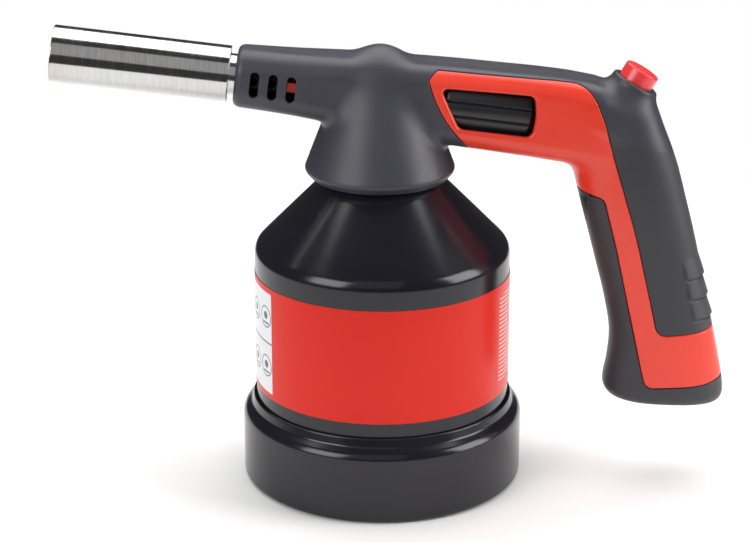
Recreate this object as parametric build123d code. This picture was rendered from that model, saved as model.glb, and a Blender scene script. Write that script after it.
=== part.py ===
from build123d import *
import os
from math import atan2, cos, degrees, radians, sin, tan

# Hand soldering torch that stands on its gas-cartridge holder.
# Millimetres. Origin: centre of the flat underside of the base, +Z up,
# +X towards the handle, -X towards the burner tube, Y across the casing's split plane.

# ---- driving dimensions ----------------------------------------------------
CARTRIDGE_R = 45.0          # pierceable gas cartridge, 90 mm across
HOLDER_R = 48.0             # outside of the sheet steel holder
HOLDER_T = 0.8
SHOULDER_Z = 89.3           # where the holder's straight wall ends
SHOULDER_FILLET = 5.0
CONE_TOP_R = 21.6
CONE_TOP_Z = 118.4
NECK_R = 17.0               # threaded neck that the torch head screws onto
NECK_TOP_Z = 130.0
LABEL_Z = (38.0, 82.0)
LABEL_T = 0.25

CUP_R = 53.1
CUP_T = 1.2
CUP_FLOOR = 1.8
CUP_WALL_Z = 21.4
CUP_TOP_Z = 32.4
BAYONET_TURN = 50.0         # degrees from locked to free

ARM_TILT = 7.0              # the burner end is raised by this many degrees
ARM_Z = 150.0               # height of the barrel axis above the holder's axis
WALL = 2.6                  # casing wall, overmoulding included
SKIN = 1.7                  # thickness of the trims and grips let into it

TUBE_R = 10.45
TUBE_WALL = 0.6
TUBE_FRONT = -121.4         # distances along the barrel axis, burner end negative
TUBE_BACK = -56.6
MIX_R = 7.7
MIX_WALL = 1.0
HEAD_FRONT = -54.0
ARM_END = 83.0

ELECTRODE_R = 0.6
INSULATOR_R = 1.6
LEAD_R = 0.8

KNOB_R = 12.3
KNOB_FROM = 22.4
KNOB_TO = 55.0
KNOB_LANDS = 14
SPINDLE_R = 2.0
RUNNING_GAP = 0.06          # radial clearance of a turning or sliding fit

BUTTON_R = 6.6
BUTTON_TRAVEL = 4.0
BUTTON_PROUD = 5.4
BUTTON_POINT = (92.8, 154.0)    # x and z of the button's axis at its collar rim
BUTTON_LEAN = 30.2          # degrees between the button's axis and vertical
COLLAR_R = 8.75

AIR_SLOTS = (-46.9, -40.2, -33.5)   # along the barrel
SLOT_LENGTH = 9.8
SLOT_WIDTH = 3.3

HOOD_R = 28.0
HOOD_Z = 122.0
HOOD_BOTTOM_Z = 118.6
HOOD_TOP_R = 11.0
HOOD_TOP_Z = 163.0

# handle sections: height, front x, rear x, half width across
HANDLE = [
    (30.5, 87.5, 128.5, 12.4),
    (37.0, 84.6, 130.2, 13.8),
    (47.0, 86.2, 128.3, 13.6),
    (58.0, 86.4, 125.8, 13.2),
    (85.0, 80.3, 119.5, 13.2),
    (110.0, 73.8, 113.1, 13.4),
    (128.0, 70.0, 107.6, 13.4),
    (142.0, 70.0, 101.8, 12.6),
    (150.5, 72.5, 99.2, 11.0),
]

# ---- frames ----------------------------------------------------------------
AXIS = Vector(cos(radians(ARM_TILT)), 0, -sin(radians(ARM_TILT)))
BUTTON_AXIS = Vector(sin(radians(BUTTON_LEAN)), 0, cos(radians(BUTTON_LEAN)))


def barrel_plane(along):
    """Plane across the barrel: local x is Y, local y is up, local z runs to the handle."""
    origin = Vector(0, 0, ARM_Z) + AXIS * along
    return Plane(origin=origin, x_dir=(0, 1, 0), z_dir=AXIS)


def button_plane(out):
    """Plane across the button's axis, `out` beyond the collar rim."""
    origin = Vector(BUTTON_POINT[0], 0, BUTTON_POINT[1]) + BUTTON_AXIS * out
    return Plane(origin=origin, x_dir=(0, 1, 0), z_dir=BUTTON_AXIS)


# ---- shared shapes ---------------------------------------------------------
def rod(plane, radius, length):
    return extrude(plane * Circle(radius), amount=length)


def pipe(plane, outer, inner, length):
    return extrude(plane * (Circle(outer) - Circle(inner)), amount=length)


def turned(outline):
    """Solid of revolution about Z from a closed list of (radius, height) points."""
    return revolve(Plane.XZ * make_face(Polyline(outline, close=True)), Axis.Z)


def side_plate(outline, near=-30.0, far=30.0):
    """Closed outline in X and Z, extruded across the casing from y near to y far."""
    face = make_face(Plane.XZ * Polyline(outline, close=True))
    return extrude(face, amount=far - near, dir=(0, 1, 0)).moved(Location((0, near, 0)))


def arc_points(centre, radii, start, end, count):
    """Points on an ellipse about centre, from angle start to end in degrees."""
    step = (end - start) / (count - 1)
    angles = [radians(start + step * i) for i in range(count)]
    return [(centre[0] + radii[0] * cos(a), centre[1] + radii[1] * sin(a)) for a in angles]


def keep_side(solid, side):
    """The part of a solid on one side of the split plane, side -1 or +1."""
    half = Box(400, 60, 400).moved(Location((0, side * 30, 100)))
    return solid & half


# ---- holder, cartridge and base --------------------------------------------
def shoulder_angle(radius, z, fillet):
    """Angle of the cone's normal, tangent to the shoulder fillet and through the cone top."""
    dx = CONE_TOP_R - (radius - fillet)
    dz = CONE_TOP_Z - z
    reach = (dx * dx + dz * dz) ** 0.5
    return degrees(atan2(dz, dx)) - degrees(atan2((reach**2 - fillet**2) ** 0.5, fillet))


def make_holder_shell():
    angle = shoulder_angle(HOLDER_R, SHOULDER_Z, SHOULDER_FILLET)
    centre = (HOLDER_R - SHOULDER_FILLET, SHOULDER_Z)
    outer = arc_points(centre, (SHOULDER_FILLET, SHOULDER_FILLET), 0, angle, 9)
    thin = SHOULDER_FILLET - HOLDER_T
    inner = arc_points(centre, (thin, thin), angle, 0, 9)
    outline = [(HOLDER_R, 6.0)] + outer + [(CONE_TOP_R, CONE_TOP_Z), (NECK_R + 0.1, CONE_TOP_Z)]
    outline += [(NECK_R + 0.1, CONE_TOP_Z - HOLDER_T), (CONE_TOP_R - 0.4, CONE_TOP_Z - HOLDER_T)]
    outline += inner + [(HOLDER_R - HOLDER_T, 6.0)]
    return turned(outline)


def make_neck_ring():
    flange_z = CONE_TOP_Z - HOLDER_T
    outline = [(14.5, flange_z - 3), (19.0, flange_z - 3), (19.0, flange_z), (NECK_R, flange_z)]
    z = CONE_TOP_Z + 1.6
    while z < NECK_TOP_Z - 2.5:
        outline += [(NECK_R, z), (NECK_R - 0.9, z + 0.8), (NECK_R, z + 1.6)]
        z += 2.0
    outline += [(NECK_R, NECK_TOP_Z - 0.6), (NECK_R - 0.6, NECK_TOP_Z), (14.5, NECK_TOP_Z)]
    return turned(outline)


def make_label():
    r = HOLDER_R
    return Pos(0, 0, LABEL_Z[0]) * pipe(Plane.XY, r + LABEL_T, r, LABEL_Z[1] - LABEL_Z[0])


BAYONET_ANGLES = [30, 150, 270]
PIN_R = 2.0
PIN_LENGTH = 2.4
PIN_Z = 14.0


def make_bayonet_pins():
    middle = HOLDER_R + PIN_LENGTH / 2
    pin = Pos(middle, 0, PIN_Z) * Rot(0, 90, 0) * Cylinder(PIN_R, PIN_LENGTH)
    return Compound(children=[Rot(0, 0, angle) * pin for angle in BAYONET_ANGLES])


def make_cartridge():
    r = CARTRIDGE_R
    outline = [(0, 14.5), (18, 14), (34, 12.4), (40.5, 11), (r - 1.2, 11), (r, 12.2), (r, 74)]
    outline += arc_points((r - 12, 74), (12, 12), 10, 62, 7)
    outline += [(16, 97.2), (9.5, 99), (1.2, 99), (1.2, 98), (9, 98), (15.5, 96.3)]
    outline += arc_points((r - 12, 74), (11.2, 11.2), 62, 10, 7)
    outline += [(r - 0.8, 74), (r - 0.8, 13), (41, 12), (34.2, 13.4), (18, 15), (0, 15.5)]
    return turned(outline)


def make_base_cup():
    rise = CUP_TOP_Z - CUP_WALL_Z
    reach = CUP_R - HOLDER_R - 0.3
    corner = (CUP_R - reach, CUP_WALL_Z)
    outer = arc_points(corner, (reach, rise), 0, 82, 9)
    inner = arc_points(corner, (reach - CUP_T, rise - CUP_T), 70, 0, 8)
    outline = [(0, 0), (CUP_R - 1.0, 0), (CUP_R - 0.3, 0.3), (CUP_R, 1.0)] + outer
    outline += [(HOLDER_R + 0.3, CUP_TOP_Z - 0.2), (HOLDER_R + 0.3, CUP_TOP_Z - 2.2)] + inner
    outline += [(CUP_R - CUP_T, CUP_FLOOR), (0, CUP_FLOOR)]
    return turned(outline)


def make_bayonet_track():
    """Ring in the cup whose lip hooks over the holder's pins, with a gap for each pin."""
    floor = CUP_FLOOR
    ring = Pos(0, 0, floor) * pipe(Plane.XY, CUP_R - CUP_T - 0.05, 50.8, 18 - floor)
    lip = Pos(0, 0, 16.6) * pipe(Plane.XY, 50.9, HOLDER_R + 0.4, 1.4)
    for angle in BAYONET_ANGLES:
        lip -= Rot(0, 0, angle - BAYONET_TURN) * Pos(HOLDER_R + 1, 0, 17) * Box(6, 6.4, 4)
    seat = Pos(0, 0, floor) * pipe(Plane.XY, 50.9, HOLDER_R - 3, 3.0)
    return ring + lip + seat


def make_pressure_plate():
    return Pos(0, 0, 9.4) * pipe(Plane.XY, 43.2, 6, 1.5)


def make_base_spring():
    pitch, turns, coil_r, wire_r = 2.45, 2.4, 22.0, 0.75
    coil = Helix(pitch=pitch, height=pitch * turns, radius=coil_r)
    start = Plane(origin=coil @ 0, z_dir=coil % 0)
    wire = sweep(start * Circle(wire_r), path=coil)
    return Pos(0, 0, CUP_FLOOR + wire_r + 0.05) * wire


# ---- torch head: gas way ---------------------------------------------------
def make_thrust_washer():
    return Pos(0, 0, NECK_TOP_Z + 0.05) * pipe(Plane.XY, 16.0, 9.0, 1.4)


def make_head_collar():
    outline = [(NECK_R + RUNNING_GAP, 119.6), (21.0, 119.6), (21.0, 131.4)]
    outline += [(NECK_R + RUNNING_GAP, 131.4)]
    return turned(outline)


def valve_bores():
    """Spindle bore, gas way to the jet and the riser from the needle."""
    spindle = rod(barrel_plane(1.5), SPINDLE_R + RUNNING_GAP, 30)
    jet_way = rod(barrel_plane(-14), 1.1, 17)
    riser = Pos(0, 0, 100) * rod(Plane.XY, 0.9, 49)
    socket = Pos(0, 0, 99) * rod(Plane.XY, 1.6, 5)
    return [spindle, jet_way, riser, socket]


def make_valve_block():
    block = turned([(0, 101.2), (6.5, 101.2), (6.5, 131.6), (15.5, 131.6), (15.5, 136), (9, 140),
                    (9, 155.4), (7.6, 156.8), (0, 156.8)])
    block += rod(barrel_plane(1), 5.2, 12)
    block += rod(barrel_plane(-12), 4.6, 11)
    for bore in valve_bores():
        block -= bore
    return block


def make_piercing_needle():
    outline = [(0.35, 94.0), (0.9, 96.2), (0.9, 99.4), (1.6, 99.4), (1.6, 104.0), (0.35, 104.0)]
    return turned(outline)


def make_cartridge_seal():
    return Pos(0, 0, 99.05) * pipe(Plane.XY, 5.6, 1.75, 2.1)


def make_packing_nut():
    nut = extrude(barrel_plane(13.1) * RegularPolygon(6.0, 6), amount=5.5)
    return nut - rod(barrel_plane(13), SPINDLE_R + RUNNING_GAP, 8)


def make_spindle():
    point = loft([barrel_plane(1.9) * Circle(0.35), barrel_plane(5.0) * Circle(SPINDLE_R)])
    return point + rod(barrel_plane(5.0), SPINDLE_R, 30)


def make_knob():
    length = KNOB_TO - KNOB_FROM
    body = rod(barrel_plane(KNOB_FROM), KNOB_R, length)
    body = chamfer(body.edges().filter_by(GeomType.CIRCLE), 0.6)
    groove = Pos(KNOB_R, 0) * Rectangle(2.2, 1.3)
    pitch = 360 / KNOB_LANDS
    grooves = [Rot(0, 0, pitch * (i + 0.5)) * groove for i in range(KNOB_LANDS)]
    cutter = extrude(barrel_plane(KNOB_FROM - 1) * Sketch(children=grooves), amount=length + 2)
    body -= cutter
    return body - rod(barrel_plane(KNOB_FROM - 1), SPINDLE_R + RUNNING_GAP, 16)


# ---- torch head: burner ----------------------------------------------------
def make_jet_carrier():
    tube = rod(barrel_plane(-27), 3.6, 14.8)
    return tube - rod(barrel_plane(-27.5), 1.2, 16)


def make_jet():
    jet = extrude(barrel_plane(-31) * RegularPolygon(3.2, 6), amount=3.9)
    jet += loft([barrel_plane(-33) * Circle(1.0), barrel_plane(-31) * Circle(2.2)])
    return jet - rod(barrel_plane(-34), 0.3, 8)


def make_mixing_tube():
    tube = pipe(barrel_plane(-62), MIX_R, MIX_R - MIX_WALL, 36.4)
    for along in AIR_SLOTS:
        plane = barrel_plane(along - 0.6)
        across = Plane(origin=plane.origin - Vector(0, 10, 0), x_dir=AXIS, z_dir=(0, 1, 0))
        tube -= rod(across, 1.7, 20)
    return tube


def make_tube_locator():
    """Ring that centres the mixing tube in the head, with a lug at each side."""
    ring = pipe(barrel_plane(-30.6), 9.2, MIX_R + 0.02, 3.0)
    for side in (-1, 1):
        plane = barrel_plane(-35.2)
        lug = Plane(origin=plane.origin + Vector(0, side * 8.5, 0), x_dir=(0, 1, 0), z_dir=AXIS)
        ring += extrude(lug * Rectangle(1.2, 3.4), amount=5.2)
    return ring - lead_channel()


def make_burner_tube():
    length = TUBE_BACK - TUBE_FRONT
    tube = pipe(barrel_plane(TUBE_FRONT), TUBE_R, TUBE_R - TUBE_WALL, length)
    mouth = tube.edges().filter_by(GeomType.CIRCLE)
    return fillet(mouth, 0.2)


def make_tube_plug():
    """Ring that carries the burner tube on the mixing tube."""
    return pipe(barrel_plane(TUBE_BACK - 3.4), TUBE_R - TUBE_WALL - 0.02, MIX_R + 0.02, 3.0)


def make_flame_holder():
    disc = rod(barrel_plane(-110), TUBE_R - TUBE_WALL - 0.02, 4)
    disc -= rod(barrel_plane(-111), 2.4, 6)
    disc -= rod(electrode_lane(-111), INSULATOR_R + 0.02, 6)
    holes = PolarLocations(7.9, 14) * Circle(1.15)
    disc -= extrude(barrel_plane(-111) * Sketch(children=list(holes)), amount=6)
    return disc


def electrode_lane(along):
    """Plane across the electrode, which runs inside the tubes above the barrel axis."""
    plane = barrel_plane(along)
    return Plane(origin=plane.origin + plane.y_dir * 4.8, x_dir=(0, 1, 0), z_dir=AXIS)


def make_electrode():
    return rod(electrode_lane(-114), ELECTRODE_R, 78)


def make_insulator():
    sleeve = rod(electrode_lane(-112), INSULATOR_R, 70)
    return sleeve - rod(electrode_lane(-113), ELECTRODE_R + 0.02, 72)


# ---- torch head: ignition --------------------------------------------------
def make_igniter():
    body = rod(button_plane(-31), 5.2, 22.7)
    return body + rod(button_plane(-8.4), 3.2, 0.7)


# route of the insulated lead, in the casing's corner past the knob:
# along the barrel axis, across, above it
LEAD_ROUTE = [
    (81.6, 6.4, -6.6), (75.0, 7.9, -1.0), (66.5, 8.5, 5.0), (57.0, 8.7, 10.3),
    (38.0, 8.8, 10.3), (20.0, 9.0, 10.2), (9.0, 10.2, 5.0), (-2.0, 10.6, 2.6),
    (-13.0, 8.6, 4.6), (-25.0, 7.4, 6.9), (-40.0, 6.7, 6.5),
]


def lead_path():
    points = []
    for along, across, up in LEAD_ROUTE:
        plane = barrel_plane(along)
        points.append(plane.origin + plane.y_dir * up + Vector(0, across, 0))
    radii = []
    for before, here, after in zip(points, points[1:], points[2:]):
        run = min((here - before).length, (after - here).length)
        half_turn = radians((here - before).get_angle(after - here)) / 2
        radii.append(min(40.0, 0.45 * run / tan(half_turn)))
    return FilletPolyline(*points, radius=radii)


def lead_tube(radius):
    path = lead_path()
    start = Plane(origin=path @ 0, z_dir=path % 0)
    return sweep(start * Circle(radius), path=path)


def make_ignition_lead():
    return lead_tube(LEAD_R)


def lead_channel():
    return lead_tube(LEAD_R + 0.25)


def make_button():
    cap = rod(button_plane(-3.0), BUTTON_R, BUTTON_PROUD + 3.0)
    rim = cap.edges().filter_by(GeomType.CIRCLE).sort_by(Axis(cap.center(), BUTTON_AXIS))[-1]
    cap = fillet(rim, 0.9)
    dome = button_plane(BUTTON_PROUD - 0.1) * Pos(0, 0, -34) * Sphere(34.6)
    cap += dome & rod(button_plane(BUTTON_PROUD - 0.2), BUTTON_R - 0.9, 3)
    return cap + rod(button_plane(-3.4), 2.6, 0.6)


# ---- casing ----------------------------------------------------------------
def barrel_solid(inset):
    """Head and arm as one loft along the barrel axis, shrunk by inset on every side."""
    # station along the axis, half height, half width, rise of the middle, corner radius
    stations = [
        (HEAD_FRONT + inset, 11.1, 11.4, 0.0, 8.6),
        (-26.0, 12.2, 12.6, 0.0, 7.4),
        (0.0, 14.0, 13.2, 0.0, 7.0),
        (30.0, 15.1, 13.3, -0.2, 7.0),
        (ARM_END - 18, 15.9, 13.3, -0.5, 7.0),
        (ARM_END - inset, 14.0, 12.4, 0.4, 7.0),
    ]
    faces = []
    for along, high, wide, up, corner in stations:
        box = RectangleRounded(2 * (wide - inset), 2 * (high - inset), corner - 0.6 * inset)
        faces.append(barrel_plane(along) * Pos(0, up) * box)
    return loft(faces, ruled=True)


def handle_section(z, front, rear, half_width, inset):
    long_half = (rear - front) / 2 - inset
    middle = (rear + front) / 2
    return Pos(middle, 0, z) * Ellipse(long_half, half_width - inset)


def handle_solid(inset):
    rows = list(HANDLE)
    rows[0] = (HANDLE[0][0] + inset,) + HANDLE[0][1:]
    rows[-1] = (HANDLE[-1][0] - inset,) + HANDLE[-1][1:]
    return loft([handle_section(*row, inset) for row in rows])


def hood_solid(inset):
    outline = [(0, HOOD_BOTTOM_Z), (HOOD_R - 1.6 - inset, HOOD_BOTTOM_Z)]
    outline += [(HOOD_R - inset, HOOD_Z), (HOOD_R - 5.4 - inset, 136.5)]
    outline += [(HOOD_TOP_R + 2.2 - inset, HOOD_TOP_Z - 2.5), (7.4, 166.4 - inset)]
    outline += [(4, 167.5 - inset), (0, 168.0 - inset)]
    return turned(outline)


def collar_solid():
    return rod(button_plane(-14), COLLAR_R, 14)


def casing_outer():
    return barrel_solid(0) + hood_solid(0) + handle_solid(0) + collar_solid()


def casing_cavity():
    cavity = barrel_solid(WALL) + hood_solid(WALL) + handle_solid(WALL)
    cavity += Pos(0, 0, 117) * Cylinder(HOOD_R - 2.6, 6)
    return cavity


TRIM_OUTLINE = [
    (21.4, 161.6), (42.0, 159.8), (62.8, 157.1), (69.6, 155.5), (73.7, 153.1), (77.8, 148.6),
    (80.7, 142.3), (84.9, 128.3), (89.4, 115.1), (94.9, 93.2), (100.9, 70.2), (103.4, 60.9),
    (105.6, 59.5), (115.1, 58.9), (121.3, 60.0), (124.6, 62.4), (140.0, 70.0), (140.0, 41.5),
    (128.4, 40.4), (123.4, 38.7), (115.5, 37.5), (107.5, 37.8), (101.1, 38.7), (98.9, 40.7),
    (97.7, 45.8), (92.6, 68.5), (87.0, 93.2), (83.3, 105.3), (81.3, 111.4), (79.5, 113.3),
    (76.0, 114.8), (66.0, 120.0), (60.0, 112.0), (32.0, 118.0), (34.0, 128.6), (29.7, 133.6),
    (26.3, 137.4), (22.9, 142.3), (19.5, 150.0), (17.1, 157.3), (19.0, 160.7),
]

WINDOW_OUTLINE = [
    (21.7, 152.7), (23.2, 154.1), (38.3, 152.7), (53.4, 151.3), (55.0, 149.6), (55.4, 144.9),
    (55.0, 139.6), (53.7, 137.6), (51.6, 136.6), (38.5, 138.2), (30.9, 139.5), (27.6, 141.2),
    (23.9, 147.4),
]

# everything of the handle's skin behind the trim, above its rear band
REAR_GRIP_OUTLINE = TRIM_OUTLINE[7:16] + [(140, 70), (140, 128.3)]

# everything of the handle's skin in front of and below the trim
FRONT_GRIP_OUTLINE = [(140.0, 41.5), (140, 10), (60, 10), (60, 112), (66, 120)]
FRONT_GRIP_OUTLINE += TRIM_OUTLINE[30:17:-1]


def skin():
    """Outer layer of the arm and handle, SKIN thick."""
    outer = barrel_solid(0) + handle_solid(0)
    return outer - barrel_solid(SKIN) - handle_solid(SKIN) - hood_solid(0)


def knob_pocket():
    return rod(barrel_plane(KNOB_FROM - 0.8), KNOB_R + 0.5, KNOB_TO - KNOB_FROM + 1.6)


def window():
    return side_plate(WINDOW_OUTLINE)


def slots():
    cuts = []
    for along in AIR_SLOTS:
        plane = barrel_plane(along)
        centre = plane.origin + plane.y_dir * -0.2
        side = Plane(origin=centre - Vector(0, 20, 0), x_dir=plane.y_dir, z_dir=(0, 1, 0))
        cuts.append(extrude(side * SlotOverall(SLOT_LENGTH, SLOT_WIDTH), amount=40))
    return cuts


SCREW_POINTS = [(3.0, 160.6), (64.5, 139.0), (101.5, 92.0), (106.5, 48.0)]


def screw_bosses():
    bosses = []
    for x, z in SCREW_POINTS:
        bosses.append(Pos(x, 0, z) * Rot(90, 0, 0) * Cylinder(2.9, 40))
    return bosses


def make_case_screws():
    screws = []
    for x, z in SCREW_POINTS:
        shank = Pos(x, 0.5, z) * Rot(90, 0, 0) * Cylinder(1.3, 15)
        head = Pos(x, 8.9, z) * Rot(90, 0, 0) * Cylinder(2.4, 1.9)
        socket = Pos(x, 9.8, z) * Rot(90, 0, 0) * Cylinder(1.1, 1.6)
        screws.append(shank + head - socket)
    return Compound(children=screws)


def screw_holes():
    holes = []
    for x, z in SCREW_POINTS:
        holes.append(Pos(x, 0.5, z) * Rot(90, 0, 0) * Cylinder(1.32, 15.1))
        holes.append(Pos(x, 18.0, z) * Rot(90, 0, 0) * Cylinder(2.6, 20.2))
    return holes


def make_casing():
    """Returns the casing halves, the trims and the two grips."""
    outer = casing_outer()
    layer = skin()
    trim = layer & side_plate(TRIM_OUTLINE)
    rear_grip = layer & side_plate(REAR_GRIP_OUTLINE)
    rear_grip -= rod(button_plane(-60), COLLAR_R, 62)
    front_grip = layer & side_plate(FRONT_GRIP_OUTLINE)
    cavity = casing_cavity()
    for boss in screw_bosses():
        cavity -= boss
    shell = outer - trim - rear_grip - front_grip - cavity - knob_pocket() - window()
    shell -= rod(button_plane(-9.5), BUTTON_R + 0.3, 12)
    shell -= rod(button_plane(-31.2), 5.25, 25)
    shell -= lead_channel()
    shell -= rod(barrel_plane(HEAD_FRONT - 2), MIX_R + 0.05, 28)
    for cut in slots() + screw_holes():
        shell -= cut
    trim = trim - window() - knob_pocket()
    for cut in screw_holes():
        trim -= cut
        rear_grip -= cut
    halves = [keep_side(shell, side) for side in (-1, 1)]
    trims = [keep_side(trim, side) for side in (-1, 1)]
    return halves, trims, rear_grip, front_grip


# ---- output ----------------------------------------------------------------
def largest(shape):
    """The biggest solid, for pieces where a cut can leave crumbs."""
    return max(shape.solids(), key=lambda solid: solid.volume)


def save(name, shape):
    export_step(shape, f"parts/{name}.step")


os.makedirs("parts", exist_ok=True)
PIECES = {
    "holder_shell": make_holder_shell,
    "neck_ring": make_neck_ring,
    "holder_label": make_label,
    "bayonet_pins": make_bayonet_pins,
    "gas_cartridge": make_cartridge,
    "base_cup": make_base_cup,
    "bayonet_track": make_bayonet_track,
    "pressure_plate": make_pressure_plate,
    "base_spring": make_base_spring,
    "thrust_washer": make_thrust_washer,
    "head_collar": make_head_collar,
    "valve_block": make_valve_block,
    "piercing_needle": make_piercing_needle,
    "cartridge_seal": make_cartridge_seal,
    "packing_nut": make_packing_nut,
    "valve_spindle": make_spindle,
    "regulator_knob": make_knob,
    "jet_carrier": make_jet_carrier,
    "gas_jet": make_jet,
    "mixing_tube": make_mixing_tube,
    "tube_locator": make_tube_locator,
    "burner_tube": make_burner_tube,
    "tube_plug": make_tube_plug,
    "flame_holder": make_flame_holder,
    "spark_electrode": make_electrode,
    "electrode_insulator": make_insulator,
    "ignition_lead": make_ignition_lead,
    "piezo_igniter": make_igniter,
    "ignition_button": make_button,
    "case_screws": make_case_screws,
}
for name, make in PIECES.items():
    save(name, make())

casing_halves, side_trims, rear, front = make_casing()
save("casing_left", largest(casing_halves[0]))
save("casing_right", largest(casing_halves[1]))
save("side_trim_left", largest(side_trims[0]))
save("side_trim_right", largest(side_trims[1]))
save("rear_grip", largest(rear))
save("front_grip", largest(front))
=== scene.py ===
import math

import bpy
import numpy as np
from mathutils import Matrix, Vector


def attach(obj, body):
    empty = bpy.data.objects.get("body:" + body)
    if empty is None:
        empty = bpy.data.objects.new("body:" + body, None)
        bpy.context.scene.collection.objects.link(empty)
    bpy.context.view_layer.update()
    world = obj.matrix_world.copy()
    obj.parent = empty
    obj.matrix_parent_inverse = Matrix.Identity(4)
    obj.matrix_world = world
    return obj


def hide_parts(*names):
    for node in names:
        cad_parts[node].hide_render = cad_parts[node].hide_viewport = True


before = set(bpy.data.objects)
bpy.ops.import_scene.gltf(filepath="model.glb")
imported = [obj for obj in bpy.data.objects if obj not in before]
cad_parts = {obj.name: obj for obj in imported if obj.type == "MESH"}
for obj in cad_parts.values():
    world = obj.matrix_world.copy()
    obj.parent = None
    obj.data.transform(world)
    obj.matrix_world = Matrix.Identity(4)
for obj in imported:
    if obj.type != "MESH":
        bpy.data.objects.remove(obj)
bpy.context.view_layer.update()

# Shapes are worked out in millimetres, in the frame's own axes, and scaled to metres once.
MM = 0.001

# ---- driving dimensions, as in the CAD part --------------------------------
ARM_TILT = math.radians(7.0)
ARM_Z = 150.0
BUTTON_LEAN = math.radians(30.2)
BUTTON_X, BUTTON_Z = 92.8, 154.0
HOLDER_R, HOLDER_T = 48.0, 0.8
LABEL_R, LABEL_LOW, LABEL_HIGH = 48.22, 38.0, 82.0
KNOB_FROM, KNOB_TO, KNOB_R, KNOB_LANDS = 22.4, 55.0, 12.3, 14
BUTTON_R, BUTTON_PROUD = 6.6, 5.25
AIR_SLOTS = (-46.9, -40.2, -33.5)       # along the barrel
CELL = 0.5       # size of the faces of the casing's skin
SPLIT_GAP = 0.05                        # half the gap between the casing halves
PANEL_GAP = 0.13                        # half the groove round a let-in panel
WALL = 1.7                              # thickness of the visible skins

cos_t, sin_t = math.cos(ARM_TILT), math.sin(ARM_TILT)
cos_b, sin_b = math.cos(BUTTON_LEAN), math.sin(BUTTON_LEAN)


# ============================================================================
# shape tools
# ============================================================================
def smooth_min(a, b, k):
    h = np.maximum(k - np.abs(a - b), 0.0) / k
    return np.minimum(a, b) - h * h * k * 0.25


def smooth_max(a, b, k):
    return -smooth_min(-a, -b, k)


def smooth_step(low, high, v):
    t = np.clip((v - low) / (high - low), 0.0, 1.0)
    return t * t * (3 - 2 * t)


def rounded(points, closed=True, step=8.0):
    """Outline through (x, z, radius) corners, each corner an arc of its radius."""
    pts = [np.array(p[:2], float) for p in points]
    n = len(pts)
    out = []
    for i, (p, raw) in enumerate(zip(pts, points)):
        radius = raw[2] if len(raw) > 2 else 0.0
        if not closed and i in (0, n - 1) or radius <= 0:
            out.append(tuple(p))
            continue
        a, b = pts[i - 1] - p, pts[(i + 1) % n] - p
        la, lb = np.linalg.norm(a), np.linalg.norm(b)
        a, b = a / la, b / lb
        angle = math.acos(max(-1, min(1, float(a @ b))))
        reach = min(radius / math.tan(angle / 2), 0.49 * la, 0.49 * lb)
        radius = reach * math.tan(angle / 2)
        centre = p + (a + b) / np.linalg.norm(a + b) * (radius / math.sin(angle / 2))
        start, end = p + a * reach - centre, p + b * reach - centre
        turn = math.atan2(start[0] * end[1] - start[1] * end[0], float(start @ end))
        count = max(2, int(abs(math.degrees(turn)) / step) + 1)
        for j in range(count + 1):
            t = turn * j / count
            c, s = math.cos(t), math.sin(t)
            out.append((centre[0] + c * start[0] - s * start[1],
                        centre[1] + s * start[0] + c * start[1]))
    return out


def outline_distance(outline, u, v):
    """Signed distance of points (u, v) to a closed outline, negative inside."""
    poly = np.array(outline)
    nxt = np.roll(poly, -1, axis=0)
    best = np.full(u.shape, 1e9)
    inside = np.zeros(u.shape, bool)
    for (ax, az), (bx, bz) in zip(poly, nxt):
        ex, ez = bx - ax, bz - az
        wx, wz = u - ax, v - az
        length = ex * ex + ez * ez
        if length < 1e-12:
            continue
        t = np.clip((wx * ex + wz * ez) / length, 0, 1)
        best = np.minimum(best, (wx - t * ex) ** 2 + (wz - t * ez) ** 2)
        flip = (az > v) != (bz > v)
        if az != bz:
            inside ^= flip & (u < ax + (v - az) * ex / ez)
    return np.where(inside, -1.0, 1.0) * np.sqrt(best)


def gradient(field, p, eps=0.04):
    g = np.empty_like(p)
    for axis in range(3):
        step = np.zeros(3)
        step[axis] = eps
        a, b = p + step, p - step
        g[:, axis] = (field(a[:, 0], a[:, 1], a[:, 2]) - field(b[:, 0], b[:, 1], b[:, 2])) / (2 * eps)
    return g


def settle(field, p, rounds=2):
    """Moves points onto the zero surface of a field and gives the surface normals there."""
    for _ in range(rounds):
        g = gradient(field, p)
        f = field(p[:, 0], p[:, 1], p[:, 2])
        move = f / np.maximum((g * g).sum(1), 0.2)
        p = p - g * np.clip(move, -1.0, 1.0)[:, None]
    g = gradient(field, p)
    return p, g / np.maximum(np.linalg.norm(g, axis=1), 1e-9)[:, None]


def sampled(field, axes, reach=4):
    """The field on a grid, exact near its zero surface and only the right sign far from it."""
    shape = [len(a) for a in axes]
    cell = axes[0][1] - axes[0][0]
    coarse = [a[::reach] for a in axes]
    rough = field(*np.meshgrid(*coarse, indexing="ij"))
    near = np.abs(rough) < cell * reach * 1.6
    pick = np.ix_(*[np.minimum(np.round(np.arange(n) / reach).astype(int), len(c) - 1)
                    for n, c in zip(shape, coarse)])
    values = rough[pick]
    i, j, k = np.nonzero(near[pick])
    values[i, j, k] = field(axes[0][i], axes[1][j], axes[2][k])
    return values


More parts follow.
